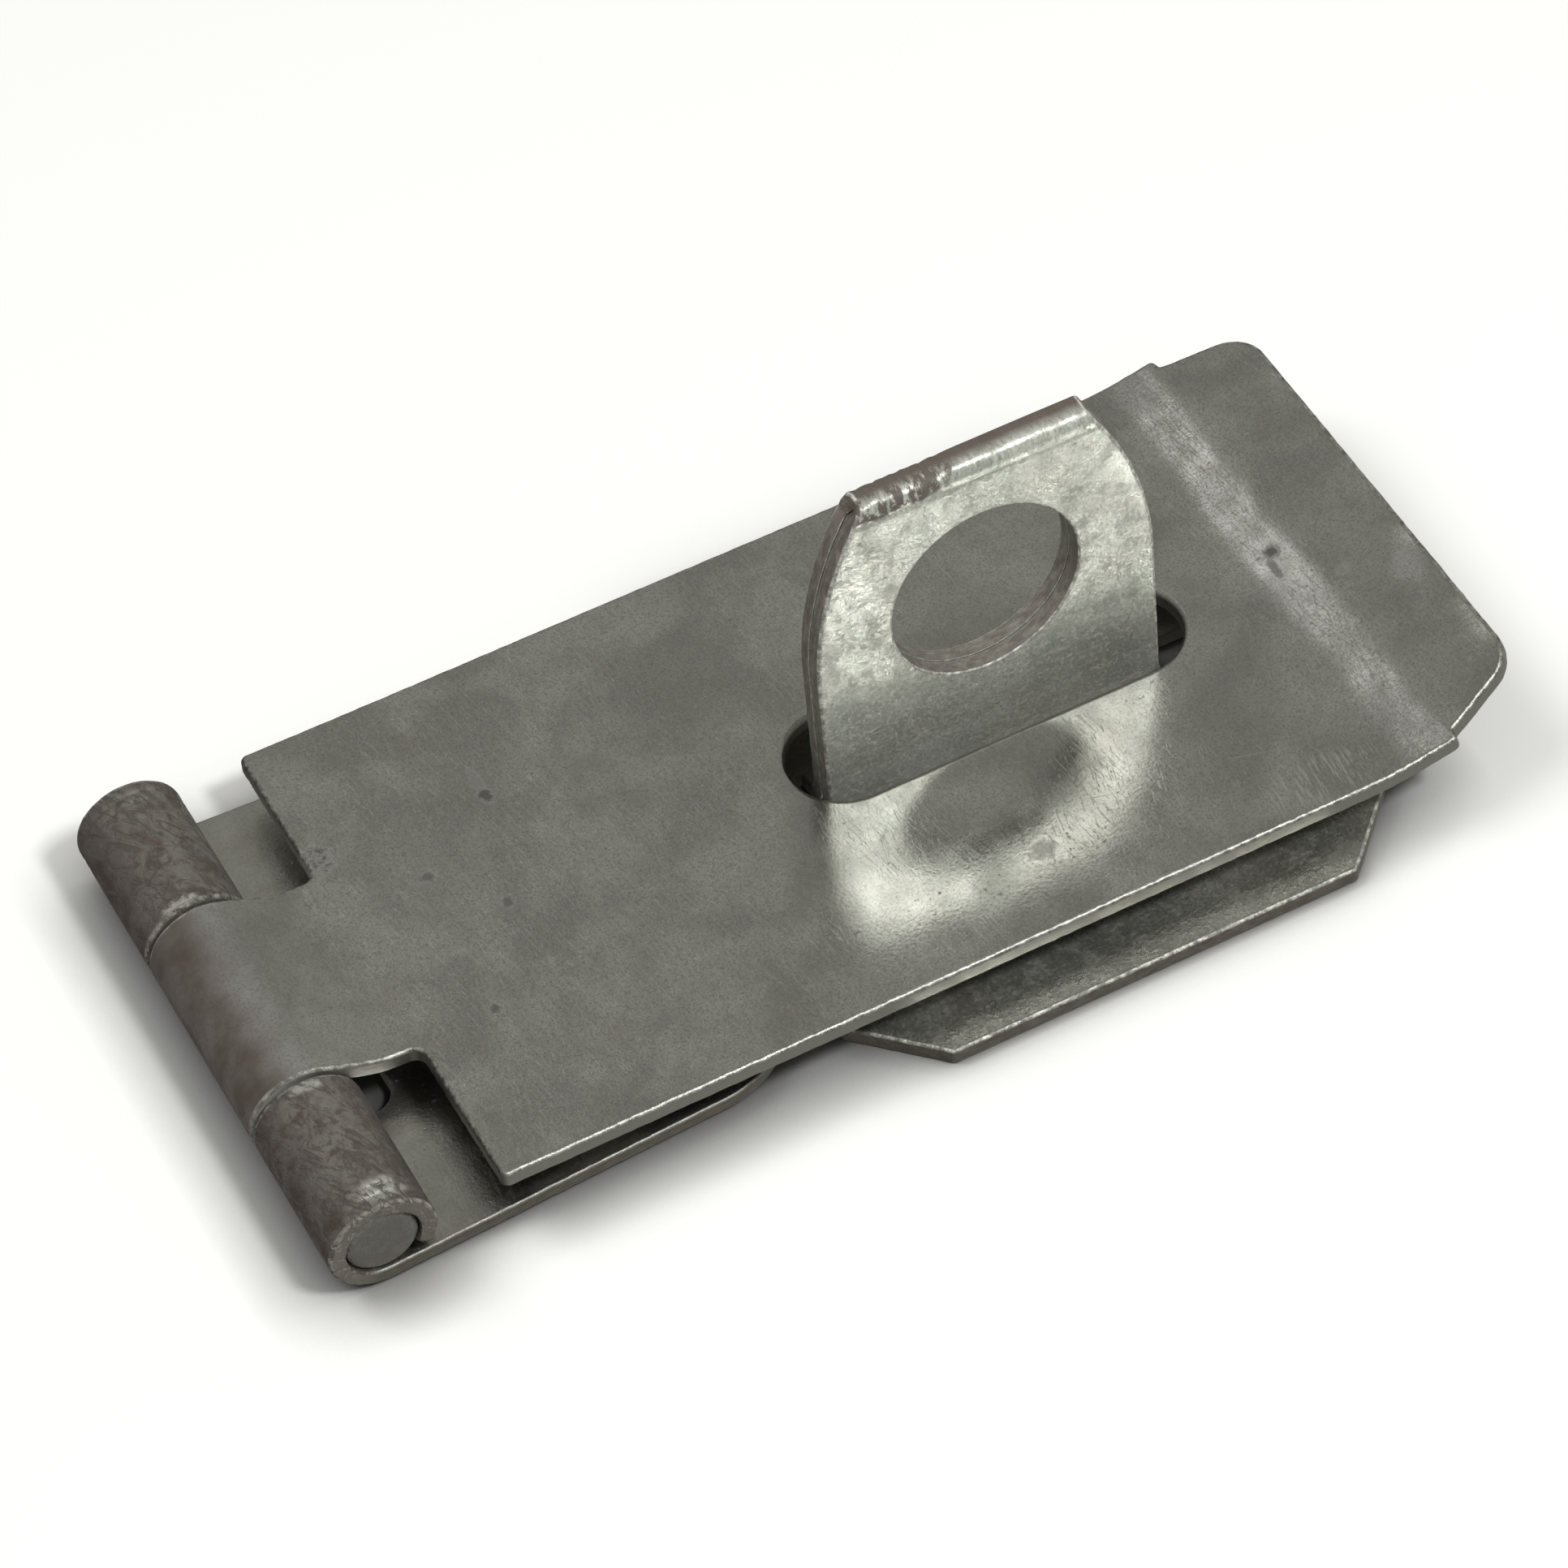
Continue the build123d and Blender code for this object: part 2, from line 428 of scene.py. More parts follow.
strap_outline = spaced(rounded(mirrored([
    (strap_s["tip"], tip_half_width, tip_corner_radius),
    (strap_s["notch"], lip_half_width, notch_root_radius),
    (strap_s["notch"] - notch_slant, strap_half_width, notch_corner_radius),
    (strap_s["shoulder"], strap_half_width, shoulder_radius),
    (strap_s["shoulder"], tongue_half_width, tongue_root_radius),
    (0.0, tongue_half_width, shoulder_radius),
])))
slot_end = slot_half_length - slot_half_width
slot_outline = spaced(arc((strap_s["slot"] - slot_end, 0), slot_half_width, -90, -270)
                      + arc((strap_s["slot"] + slot_end, 0), slot_half_width, 90, -90))
# the cells are short along the bends, and longer on the flat
bend_pitch = 0.35
flat_pitch = 1.1
ramp_pitch = 0.4
strap_lines_s = np.concatenate([
    np.arange(bend_pitch, strap_s["neck"] + 4, bend_pitch),
    np.arange(strap_s["neck"] + 5, strap_s["ramp"] - 2, flat_pitch),
    np.arange(strap_s["ramp"] - 2, strap_s["tip"], ramp_pitch),
])
strap_lines_w = np.arange(-16.5, 16.6, flat_pitch)
strap_blank = blank(
    [(strap_outline, sheared(0.28), 0.06), (slot_outline, sheared(0.42, wear=0.2), 0.02)],
    strap_lines_s, strap_lines_w,
)
strap = bent("hasp_strap_pressed", strap_blank, strap_path, along_x, strap_wave)

# ------------------------------------------------------------------ base leaf
leaf_window_s = leaf_end_x - window_x
leaf_root_s = leaf_end_x - hinge_x
leaf_path = Path((leaf_end_x, half_sheet), 180, [(leaf_root_s, 0), (curl_radius, -leaf_curl)])
# the curling tool's lines round a knuckle: (distance from its end, width, depth)
tool_lines = ((0.95, 0.18, 0.08), (1.6, 0.16, 0.06))
tool_reach = 3.0


def leaf_wave(s, w, t):
    """Shallow waves in the flat, and the tool's lines round the knuckles' outer ends."""
    if s < leaf_root_s:
        waves = 0.015 * (ripple(s, w, 0.1, 0.1, 2.2) - 1)
        return waves * min(1.0, (leaf_root_s - s) / 3)
    from_end = leaf_half_width - abs(w)
    if t < 0 or from_end > tool_reach:
        return 0.0
    return -sum(depth * math.exp(-((from_end - line) / width) ** 2)
                for line, width, depth in tool_lines)


leaf_half = [
    (0.0, 0.0, 0.0),
    (0.0, -leaf_end_half_width, leaf_corner_radius),
    (leaf_root_s, -leaf_half_width, 0.0),
    (leaf_path.length, -leaf_half_width, curl_corner_radius),
    (leaf_path.length, -window_half_width, curl_corner_radius),
    (leaf_window_s, -window_half_width, window_corner_radius),
]
leaf_outline = spaced(rounded(leaf_half + [(x, -y, r) for x, y, r in reversed(leaf_half[1:])]))
# the blank is laid out from the leaf's end, where s is 0, so this s is the frame's x of 0
leaf_screws = [(arc((leaf_end_x, y), countersink_radius, 0, -360)[:-1], countersunk(-1), 0.0)
               for y in (-leaf_screw_y, leaf_screw_y)]
# the cells are short round the curl, and narrow where the tool's lines are
curl_pitch = 0.3
tool_pitch = 0.1
leaf_lines_s = np.concatenate([
    np.arange(1.0, leaf_root_s, 1.0), np.arange(leaf_root_s, leaf_path.length, curl_pitch)])
leaf_lines_w = np.concatenate([
    np.arange(-16.3, -14.5, tool_pitch), np.arange(-14, 14.2, 1.0),
    np.arange(14.5, 16.4, tool_pitch)])
leaf_blank = blank(
    [(leaf_outline, sheared(0.32, under=0.2), 0.05)] + leaf_screws, leaf_lines_s, leaf_lines_w)
leaf = bent("base_leaf_pressed", leaf_blank, leaf_path, along_x, leaf_wave)

# ------------------------------------------------------------------ staple
fold_z = eye_top_z - half_sheet - fold_radius
root_reach = fold_radius + root_radius
flange_run = flange_half_width - root_reach
eye_run = fold_z - half_sheet - root_radius
staple_path = Path((-flange_half_width, half_sheet), 0, [
    (flange_run, 0), (root_radius, 90), (eye_run, 0), (fold_radius, -180),
    (eye_run, 0), (root_radius, 90), (flange_run, 0)])
eye_foot_s = flange_run + root_radius * math.pi / 2
fold_start_s = eye_foot_s + eye_run
staple_middle_s = staple_path.length / 2


def eye_s(z):
    """How far along the blank a height on the eye's near face is."""
    return eye_foot_s + z - half_sheet - root_radius


def along_y(path, s, w):
    """The staple: the path lies in the YZ plane, and w is -x. The flanges stay flat beside the eye,
    and the eye leans back from its roots up."""
    if abs(w) > eye_half_width + relief / 2:
        ear = s if s < staple_middle_s else s - path.length + 2 * flange_half_width
        return (Vector((staple_x - w, ear - flange_half_width, half_sheet)),
                Vector((0, 1, 0)), Vector((-1, 0, 0)), Vector((0, 0, 1)))
    place, heading = path.at(s)
    up = heading * 1j
    leant = lean_back * max(0.0, place.imag - root_radius - half_sheet)
    return (Vector((staple_x - w, place.real + leant, place.imag)),
            Vector((0, heading.real, heading.imag)),
            Vector((-1, 0, 0)), Vector((0, up.real, up.imag)))


def staple_wave(s, w, t):
    """Slight waves in the eye's faces, and a fold that is hammered square, with a crease along its
    near side and torn metal on its left part. turn is the angle round the fold, in radians."""
    if t < 0 or abs(w) > eye_half_width:
        return 0.0
    wave = -0.012 + 0.012 * ripple(s, w, 0.25, 0.25, 5.5)
    turn = (s - staple_middle_s) / fold_radius
    if abs(turn) < math.pi / 2:
        across, over = abs(math.cos(turn)), abs(math.sin(turn))
        spread = (across ** fold_squareness + over ** fold_squareness) ** (1 / fold_squareness)
        wave += (fold_radius + half_sheet) * (1 / spread - 1)
    crease_at, crease_width, crease_depth = -1.95, 0.26, 0.05
    wave -= crease_depth * math.exp(-((turn - crease_at) / crease_width) ** 2)
    torn_reach = 2.6
    if abs(turn) < torn_reach:
        torn = (1 - abs(turn) / torn_reach) * min(1.0, max(0.0, (w - 0.5) / 2))
        wave += torn * (0.12 * ripple(s, w, 3.2, 2.8, 8.8) - 0.09)
    return wave


arch_top = math.degrees(math.asin((eye_top_z - eye_straight_z) / eye_side_radius))
arch_centre = (eye_half_width - eye_side_radius, eye_straight_z)
# above the fold's start the arch is drawn in to what is left of the blank there
fold_share = 0.8
near_side = [(eye_s(min(z, fold_z)) + (max(z, fold_z) - fold_z) * fold_share, x)
             for x, z in arc(arch_centre, eye_side_radius, 0, arch_top)]
staple_quarter = rounded([
    (0.0, 0.0, 0.0),
    (0.0, -(flange_half_length - flange_chamfer), flange_corner_radius),
    (flange_chamfer, -flange_half_length, flange_corner_radius),
    (flange_half_width - half_slit, -flange_half_length, slit_corner_radius),
    (flange_half_width - half_slit, -(eye_half_width + relief), relief_mouth_radius),
    (flange_run - relief, -(eye_half_width + relief), relief_corner_radius),
    (flange_run - relief, -eye_half_width, relief_corner_radius),
    (near_side[0][0], -eye_half_width, 0.0),
])[1:]
staple_quarter += [(s, -x) for s, x in near_side[1:]]
near_half = [(s, w) for s, w in staple_quarter if s < staple_middle_s - 0.05]
right_side = near_half + [(2 * staple_middle_s - s, w) for s, w in reversed(near_half)]
staple_outline = spaced(right_side + [(s, -w) for s, w in reversed(right_side)])
eye_hole_s = eye_s(eye_hole_z)
near_screw_s = flange_half_width - staple_screw_y
eye_hole_edge = sheared(0.16, under=0.05)
staple_holes = [(spaced(arc((s, 0), eye_hole_radius, 0, -360)[:-1], 0.3), eye_hole_edge, 0.02)
                for s in (eye_hole_s, 2 * staple_middle_s - eye_hole_s)]
staple_holes += [(arc((s, w), countersink_radius, 0, -360)[:-1], countersunk(1), 0.0)
                 for s in (near_screw_s, staple_path.length - flange_half_width + staple_screw_y)
                 for w in (-staple_screw_x, staple_screw_x)]
root_lines = np.arange(flange_run, eye_foot_s, 0.2)
fold_lines = np.concatenate([np.arange(fold_start_s - 1.2, fold_start_s, 0.15),
                             np.linspace(fold_start_s, staple_middle_s, 13)])
eye_lines = np.arange(eye_foot_s + 0.5, fold_start_s - 1.3, 0.9)
near_lines = np.concatenate([np.arange(1.0, flange_run, 1.5), root_lines, eye_lines, fold_lines])
# across the sheet the cells are finer on the left, where the fold is torn
staple_lines_w = np.concatenate([
    [-16.0, -14.5, -13.0, -11.7], np.arange(-10.2, 0, 0.6),
    np.arange(0.0, 9.0, 0.22), [9.4, 10.0, 11.7, 13.0, 14.5, 16.0],
])
staple_blank = blank(
    [(staple_outline, sheared(0.25), 0.05)] + staple_holes,
    np.unique(np.round(np.concatenate([near_lines, 2 * staple_middle_s - near_lines]), 4)),
    staple_lines_w,
)
staple = bent("staple_folded", staple_blank, staple_path, along_y, staple_wave)


# ------------------------------------------------------------------ hinge pin
def turned(name, profile, axis_point, steps=96):
    """A body turned about a line along Y, through axis_point (x, z). profile is [(radius, y, rim)],
    from one end's middle to the other's."""
    axis_x, axis_up = axis_point
    bm = bmesh.new()
    rim_layer = bm.verts.layers.float.new("rim")
    wall_layer = bm.verts.layers.float.new("wall")
    flat = bm.verts.layers.float_vector.new("flat")
    rings = []
    for radius, y, rim in profile:
        ring = []
        for k in range(steps if radius else 1):
            a = 2 * math.pi * k / steps
            across, up = radius * math.cos(a), radius * math.sin(a)
            vert = bm.verts.new(Vector((axis_x + across, y, axis_up + up)) * MM)
            vert[rim_layer], vert[wall_layer] = rim, 0.0
            vert[flat] = (across, up, y)
            ring.append(vert)
        rings.append(ring)
    for a, b in zip(rings, rings[1:]):
        for k in range(steps):
            if len(a) == 1:
                bm.faces.new((a[0], b[k - 1], b[k]))
            elif len(b) == 1:
                bm.faces.new((a[k - 1], a[k], b[0]))
            else:
                bm.faces.new((a[k - 1], a[k], b[k], b[k - 1]))
    bmesh.ops.recalc_face_normals(bm, faces=bm.faces[:])
    mesh = bpy.data.meshes.new(name)
    bm.to_mesh(mesh)
    bm.free()
    mesh.shade_smooth()
    piece = bpy.data.objects.new(name, mesh)
    bpy.context.scene.collection.objects.link(piece)
    return piece


# a cropped end, slightly domed and worn bright at its rim: (radius, distance in from the end, rim)
pin_crop = [(0.0, 0.0, 0.0), (0.7, 0.0, 0.0), (1.3, 0.01, 0.0), (1.7, 0.03, 0.0), (1.88, 0.06, 0.1),
            (2.0, 0.12, 0.5), (2.08, 0.22, 1.0), (2.12, 0.36, 0.4),
            (pin_radius, 0.6, 0.0), (pin_radius, 3.0, 0.0)]
pin_half_profile = [(radius, pin_high.y - inward, rim) for radius, inward, rim in pin_crop]
pin_profile = [(r, -y, rim) for r, y, rim in pin_half_profile] + list(reversed(pin_half_profile))
pin = turned("hinge_pin_cropped", pin_profile, (hinge_x, axis_z))


# ------------------------------------------------------------------ materials
class Look:
    """A node material under construction. Coordinates are the flat blank's own, in millimetres."""

    def __init__(self, name):
        self.material = bpy.data.materials.new(name)
        self.material.use_nodes = True
        self.tree = self.material.node_tree
        self.shader = self.tree.nodes["Principled BSDF"]
        self.flat = self.attribute("flat", "Vector")
        self.rim = self.attribute("rim", "Fac")
        self.wall = self.attribute("wall", "Fac")

    def node(self, kind, **settings):
        """A new node with the given properties."""
        made = self.tree.nodes.new(kind)
        for key, value in settings.items():
            setattr(made, key, value)
        return made

    def feed(self, socket, value):
        """Links a socket to another one, or sets its own value."""
        if isinstance(value, bpy.types.NodeSocket):
            self.tree.links.new(value, socket)
        else:
            socket.default_value = value

    def attribute(self, name, output):
        """One of the mesh's own attributes."""
        return self.node("ShaderNodeAttribute", attribute_name=name).outputs[output]

    def calc(self, operation, a, b=0.0):
        """One step of arithmetic."""
        made = self.node("ShaderNodeMath", operation=operation)
        self.feed(made.inputs[0], a)
        self.feed(made.inputs[1], b)
        return made.outputs[0]

    def add(self, value, mask, amount):
        """A value with so much of a mask added to it."""
        return self.calc("ADD", value, self.calc("MULTIPLY", mask, amount))

    def ramp(self, value, low, high, to_low=0.0, to_high=1.0):
        """A smooth step: to_low where the value is low, to_high where it is high. Low may be the
        larger of the two."""
        made = self.node("ShaderNodeMapRange", interpolation_type="SMOOTHSTEP")
        for socket, number in zip(made.inputs[:5], (value, low, high, to_low, to_high)):
            self.feed(socket, number)
        return made.outputs[0]

    def mix(self, a, b, factor):
        """Blends two colours."""
        made = self.node("ShaderNodeMix", data_type="RGBA")
        self.feed(made.inputs["Factor"], factor)
        self.feed(made.inputs["A"], a)
        self.feed(made.inputs["B"], b)
        return made.outputs["Result"]

    def placed(self, scale=(1, 1, 1), turn=0.0, shift=(0, 0, 0)):
        """The flat coordinates, moved, turned in the sheet's plane and stretched."""
        made = self.node("ShaderNodeMapping", vector_type="TEXTURE")
        self.feed(made.inputs["Vector"], self.flat)
        made.inputs["Rotation"].default_value = (0, 0, math.radians(turn))
        made.inputs["Scale"].default_value = scale
        made.inputs["Location"].default_value = shift
        return made.outputs[0]

    def noise(self, scale, detail=2.0, vector=None, distortion=0.0, rough=0.5):
        """Cloudy noise about 0.5, over the flat coordinates or a vector of their kind."""
        made = self.node("ShaderNodeTexNoise")
        self.feed(made.inputs["Vector"], vector or self.flat)
        made.inputs["Scale"].default_value = scale
        made.inputs["Detail"].default_value = detail
        made.inputs["Distortion"].default_value = distortion
        made.inputs["Roughness"].default_value = rough
        return made.outputs["Fac"]

    def cells(self, scale):
        """A random value for each crystal of the plating."""
        made = self.node("ShaderNodeTexVoronoi")
        self.feed(made.inputs["Vector"], self.flat)
        made.inputs["Scale"].default_value = scale
        split = self.node("ShaderNodeSeparateColor")
        self.feed(split.inputs[0], made.outputs["Color"])
        return split.outputs[0]

    def patch(self, s, w, half_s, half_w, ragged, outer, inner, strength=1.0):
        """A ragged oval mark on the top face. Its strength falls to 0 from inner to outer, which are
        distances from its middle in half lengths."""
        through = 20.0  # far more than the sheet's thickness, so the depth doesn't count
        away = self.node("ShaderNodeVectorMath", operation="LENGTH")
        self.feed(away.inputs[0], self.placed((half_s, half_w, through), shift=(s, w, half_sheet)))
        edge = self.calc("SUBTRACT", self.noise(3.0 / (half_s + half_w), 4.0, rough=0.65), 0.5)
        distance = self.add(away.outputs["Value"], edge, 2 * ragged)
        return self.ramp(distance, outer, inner, 0.0, strength)

    def most(self, masks):
        """The strongest of several masks."""
        strongest = masks[0]
        for mask in masks[1:]:
            strongest = self.calc("MAXIMUM", strongest, mask)
        return strongest

    def axis(self, name):
        """One of the flat coordinates: X is s and Y is w."""
        split = self.node("ShaderNodeSeparateXYZ")
        self.feed(split.inputs[0], self.flat)
        return split.outputs[name]


def rgb(*values):
    """An opaque colour."""
    return (*values, 1.0)


# the brown also paints shade on the back of the staple's fold, and the dark colour also paints shade
# at the staple's roots and in the pin's gap
stain_and_shade_brown = rgb(0.088, 0.064, 0.053)
dirt_and_shade_dark = rgb(0.06, 0.052, 0.044)
edge_dark = rgb(0.2, 0.195, 0.18)
torn_dark = rgb(0.10, 0.085, 0.07)


def plating(look, dull, pale, worn, grain, sparkle, sparkle_strength):
    """The plating's own colour: large blotches, warmer areas, dark grain and bright crystals."""
    blotch = look.ramp(look.noise(0.16, 4.0, distortion=0.6), 0.35, 0.66)
    colour = look.mix(rgb(*dull), rgb(*pale), blotch)
    warm = look.ramp(look.noise(0.33, 3.0, look.placed(shift=(31, 12, 5))), 0.46, 0.70, 0.0, 0.5)
    colour = look.mix(colour, rgb(dull[0] * 0.98, dull[1] * 0.90, dull[2] * 0.88), warm)
    grain_scale, grain_strength = grain
    grains = look.ramp(look.noise(grain_scale, 2.0, rough=0.7), 0.42, 0.75, 0.0, grain_strength)
    colour = look.mix(colour, rgb(*[c * 0.68 for c in dull]), grains)
    return look.mix(colour, rgb(*worn), look.ramp(sparkle, 0.55, 1.0, 0.0, sparkle_strength))


def scratches(look):
    """A mask of scratches: two sets of short fine ones and a few long ones, thick in some places."""
    fine = look.noise(1.0, 3.0, look.placed((0.07, 1.5, 1), turn=9, shift=(3, 1, 0)), rough=0.7)
    crossed = look.noise(1.0, 3.0, look.placed((0.08, 1.1, 1), turn=-14, shift=(5, 8, 0)), rough=0.7)
    long = look.noise(1.0, 2.0, look.placed((9.0, 0.16, 1), turn=-17), rough=0.6)
    scratch = look.most([
        look.ramp(fine, 0.56, 0.70), look.ramp(crossed, 0.58, 0.72), look.ramp(long, 0.70, 0.78)])
    where = look.ramp(look.noise(0.12, 2.0, look.placed(shift=(7, 44, 0))), 0.34, 0.60, 0.15, 1.0)
    return look.calc("MULTIPLY", scratch, where)


def zinc(name, dull, pale, worn, wall, roughness, crystal, bump, marks, grain=(7.0, 0.45)):
    """Zinc-plated steel: blotches and grain, scratches, bright rims and dirty cut walls. crystal and
    grain are (scale, strength), and bump is the depth of (noise, crystals, dirt and painted shade).
    marks(look) gives masks for the piece's own pits and painted shade, strokes, brown stains and
    painted shade, torn metal, chalky and matt places."""
    look = Look(name)
    crystal_scale, crystal_strength = crystal
    noise_bump, crystal_bump, dirt_and_shade_bump = bump
    sparkle = look.cells(crystal_scale)
    colour = plating(look, dull, pale, worn, grain, sparkle, crystal_strength)

    scratch = scratches(look)
    own = marks(look)
    pits_and_shade, stains_and_shade, strokes, torn, chalky, matt = (
        own.get(kind, 0.0) for kind in ("pits_and_shade", "stains_and_shade", "strokes", "torn", "chalky", "matt"))
    colour = look.mix(colour, rgb(*worn), look.calc("MULTIPLY", scratch, 0.34))
    colour = look.mix(colour, rgb(*worn), look.calc("MULTIPLY", strokes, 0.8))
    scratch = look.calc("MAXIMUM", scratch, strokes)
    # brown stains, and on the staple the painted shade at the back of the fold
    colour = look.mix(colour, stain_and_shade_brown, look.calc("SUBTRACT", stains_and_shade, strokes))
    speck = look.ramp(look.noise(2.6, 1.0, look.placed(shift=(8, 3, 1))), 0.72, 0.79)
    # pits and dirt darken the colour, and so does the painted shade at the staple's roots and in the
    # pin's gap
    dirt_and_shade = look.calc("MAXIMUM", pits_and_shade, look.calc("MULTIPLY", speck, 0.35))
    colour = look.mix(colour, dirt_and_shade_dark, look.calc("MULTIPLY", dirt_and_shade, 0.93))

    # rims are worn bright or chipped dark, and the cut walls below them are streaked
    chips = look.noise(2.2, 4.0, rough=0.75)
    edge = look.mix(edge_dark, rgb(*worn), look.ramp(chips, 0.38, 0.66))
    colour = look.mix(colour, edge, look.calc("MULTIPLY", look.rim, look.calc("SUBTRACT", 0.9, dirt_and_shade)))
    shear = look.noise(1.0, 4.0, look.placed((0.9, 0.9, 0.3)), rough=0.65)
    cut = look.ramp(look.wall, 0.65, 0.95)
    streaks = look.calc("MULTIPLY", cut, look.ramp(shear, 0.3, 0.65, 0.7, 1.0))
    colour = look.mix(colour, rgb(*wall), streaks)
    colour = look.mix(colour, torn_dark, look.calc("MULTIPLY", torn, 0.95))

    metal = 1.0
    for mask, loss in ((dirt_and_shade, 0.7), (chalky, 0.5), (stains_and_shade, 0.45), (torn, 0.4)):
        metal = look.add(metal, mask, -loss)
    rough = look.ramp(look.noise(0.5, 3.0), 0.3, 0.7, roughness - 0.035, roughness + 0.045)
    for mask, gain in ((dirt_and_shade, 0.25), (cut, 0.18), (scratch, 0.05), (look.rim, 0.30), (chalky, 0.12),
                       (matt, 0.22), (stains_and_shade, 0.25), (torn, 0.25)):
        rough = look.add(rough, mask, gain)

    height = look.calc("MULTIPLY", look.noise(4.5, 3.0, rough=0.65), noise_bump)
    for mask, rise in ((sparkle, crystal_bump), (scratch, -0.32), (dirt_and_shade, -dirt_and_shade_bump),
                       (look.calc("MULTIPLY", shear, cut), 2.0),
                       (look.calc("MULTIPLY", chips, look.rim), 5.0)):
        height = look.add(height, mask, rise)
    bumped = look.node("ShaderNodeBump")
    bumped.inputs["Strength"].default_value = 1.0
    bumped.inputs["Distance"].default_value = 0.01 * MM
    look.feed(bumped.inputs["Height"], height)
    look.feed(look.shader.inputs["Normal"], bumped.outputs[0])
    look.feed(look.shader.inputs["Base Color"], colour)
    look.feed(look.shader.inputs["Metallic"], metal)
    look.feed(look.shader.inputs["Roughness"], rough)
    return look.material


# single marks on the strap's flat, in the frame: (x, y, half length, half width, strength)
strap_pits = (
    (1.9, 7.4, 0.48, 0.68, 1.0), (1.9, 8.6, 0.4, 1.1, 0.5), (-3.5, 3.7, 0.65, 0.42, 0.9),
    (-0.4, -0.1, 0.45, 0.5, 0.9), (-4.3, -6.5, 0.45, 0.42, 0.95), (-7.0, 1.5, 0.3, 0.3, 0.6),
    (48.9, 0.5, 0.46, 0.42, 1.0), (48.4, -0.6, 0.25, 0.8, 0.7), (26.9, -11.7, 0.9, 0.7, 0.35),
    (51.5, -3.2, 0.5, 0.4, 0.4), (54.6, -5.5, 0.9, 1.2, 0.35),
)
# rust on the middle knuckle, on the blank: (s, w, half length, half width)
strap_rust = ((8.9, 0.8, 0.55, 2.6), (9.4, -5.4, 0.8, 0.7), (8.2, 6.2, 0.8, 0.6))
# rubbed places on the outer knuckles, as above, with s from the curl's start
leaf_rubbed = ((7.9, 7.5, 1.2, 0.4), (9.2, -15.6, 1.5, 0.9), (8.6, -7.6, 1.0, 0.4))


def strap_marks(look):
    """Single pits and smudges on the flat, a burr by the far shoulder, cross strokes by the near edge,
    and brown dirt and rust on the knuckle's outer side, where the plating is matt."""
    to_s = strap_s["slot"] - slot_x
    along = look.axis("X")
    pits_and_shade = look.most([look.patch(x + to_s, y, half_x, half_y, 0.8, 1.25, 0.45, strength)
                      for x, y, half_x, half_y, strength in strap_pits])
    burr = look.patch(-8.3 + to_s, 7.8, 0.9, 1.0, 0.8, 1.3, 0.8)
    crumbs = look.ramp(look.noise(2.6, 3.0, rough=0.7), 0.46, 0.56, 0.15, 0.95)
    side = look.calc("MULTIPLY", look.ramp(along, 2.0, 5.0), look.ramp(along, 11.2, 14.4, 1.0, 0.0))
    brown = look.calc("MULTIPLY", side, look.ramp(look.noise(0.5, 3.0), 0.3, 0.7, 0.72, 1.0))
    rust = look.most([look.patch(*place, 0.7, 1.2, 0.5) for place in strap_rust])
    pits_and_shade = look.most([pits_and_shade, look.calc("MULTIPLY", burr, crumbs), look.calc("MULTIPLY", side, 0.46),
                      look.calc("MULTIPLY", rust, 0.75)])
    strokes = look.noise(1.0, 2.0, look.placed((0.16, 1.6, 1), turn=-6), rough=0.6)
    stroked = look.patch(42.5 + to_s, -15.0, 5.0, 1.9, 0.3, 1.1, 0.5, 0.9)
    strokes = look.calc("MULTIPLY", look.ramp(strokes, 0.50, 0.62), stroked)
    matt = look.ramp(along, strap_s["neck"] - 4.0, strap_s["neck"] + 2.0, 1.0, 0.0)
    return {"pits_and_shade": pits_and_shade, "stains_and_shade": look.calc("MAXIMUM", brown, rust), "strokes": strokes, "matt": matt}


def leaf_marks(look):
    """Brown mottling on the knuckles, dark cracks in their plating, and a few rubbed places."""
    round_s = look.calc("SUBTRACT", look.axis("X"), leaf_root_s)
    knuckle = look.ramp(round_s, 0.3, 1.5)
    side = look.calc("MULTIPLY", knuckle, look.ramp(round_s, 5.2, 7.6, 1.0, 0.0))
    brown = look.calc("MULTIPLY", side, look.ramp(look.noise(0.6, 3.0), 0.3, 0.65, 0.5, 0.95))
    mottle = look.noise(1.1, 5.0, look.placed((1, 1.5, 1), shift=(9, 3, 0)), 0.7, 0.7)
    mottle = look.calc("MULTIPLY", knuckle, look.ramp(mottle, 0.34, 0.68, 0.42, 0.95))
    cracks = look.noise(1.0, 5.0, look.placed((0.8, 2.2, 1), turn=25), 1.8, 0.75)
    cracks = look.calc("MULTIPLY", knuckle, look.ramp(cracks, 0.50, 0.60))
    rubbed = look.most([look.patch(leaf_root_s + s, w, half_s, half_w, 0.6, 1.1, 0.4, 0.75)
                        for s, w, half_s, half_w in leaf_rubbed])
    return {"pits_and_shade": cracks, "stains_and_shade": look.calc("MAXIMUM", brown, mottle), "strokes": rubbed}


def pin_marks(look):
    """Light mottling over the whole pin, and painted shade in the gap at the outer side of its ends.
    """
    mottle = look.ramp(look.noise(1.4, 4.0, rough=0.65), 0.5, 0.75, 0.0, 0.45)
    # painted shade on the pin's upper left, for the dark gap between it and the knuckle's curl
    gap_painted_shade = look.patch(-1.5, 1.3, 0.9, 0.9, 0.3, 1.0, 0.5)
    pits_and_shade = look.calc("MAXIMUM", gap_painted_shade, look.ramp(look.noise(1.3, 3.0), 0.62, 0.76, 0.0, 0.5))
    return {"pits_and_shade": pits_and_shade, "stains_and_shade": mottle}


